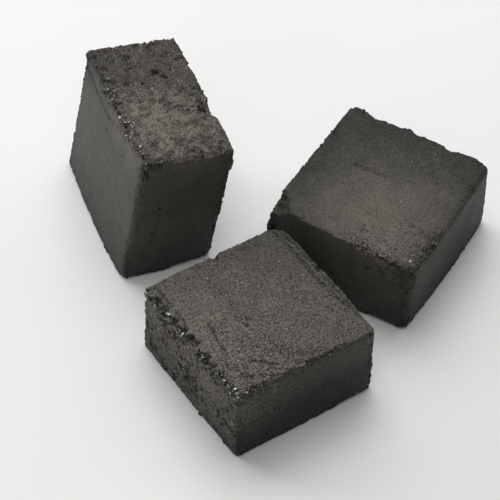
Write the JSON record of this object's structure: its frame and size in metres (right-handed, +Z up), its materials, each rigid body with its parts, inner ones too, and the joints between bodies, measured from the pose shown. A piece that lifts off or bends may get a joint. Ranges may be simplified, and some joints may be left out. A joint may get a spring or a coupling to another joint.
{
  "type": "charcoal block",
  "caption": "Loose square blocks of pressed charcoal with crumbly, broken edges: flat ones lying down and one standing on a narrow side.",
  "frame": {"origin": "middle of the group's footprint, on the surface that the blocks stand on", "axes": "+Z up; +Y away from the viewer, from the front block towards the other two; +X to the viewer's right, from the standing block towards the right block"},
  "size_m": [0.0688, 0.0688, 0.0264],
  "materials": {
    "charcoal": "matte, fine-grained, with small glassy glints on broken edges"
  },
  "bodies": {
    "front": {"front_block": "charcoal"},
    "standing": {"standing_block": "charcoal"},
    "right": {"right_block": "charcoal"}
  },
  "joints": [
    {"name": "standing_lift", "type": "slide", "parent": "front", "child": "standing", "axis": [0, 0, 1], "range_m": [0, 0.04]},
    {"name": "right_lift", "type": "slide", "parent": "front", "child": "right", "axis": [0, 0, 1], "range_m": [0, 0.04]}
  ]
}
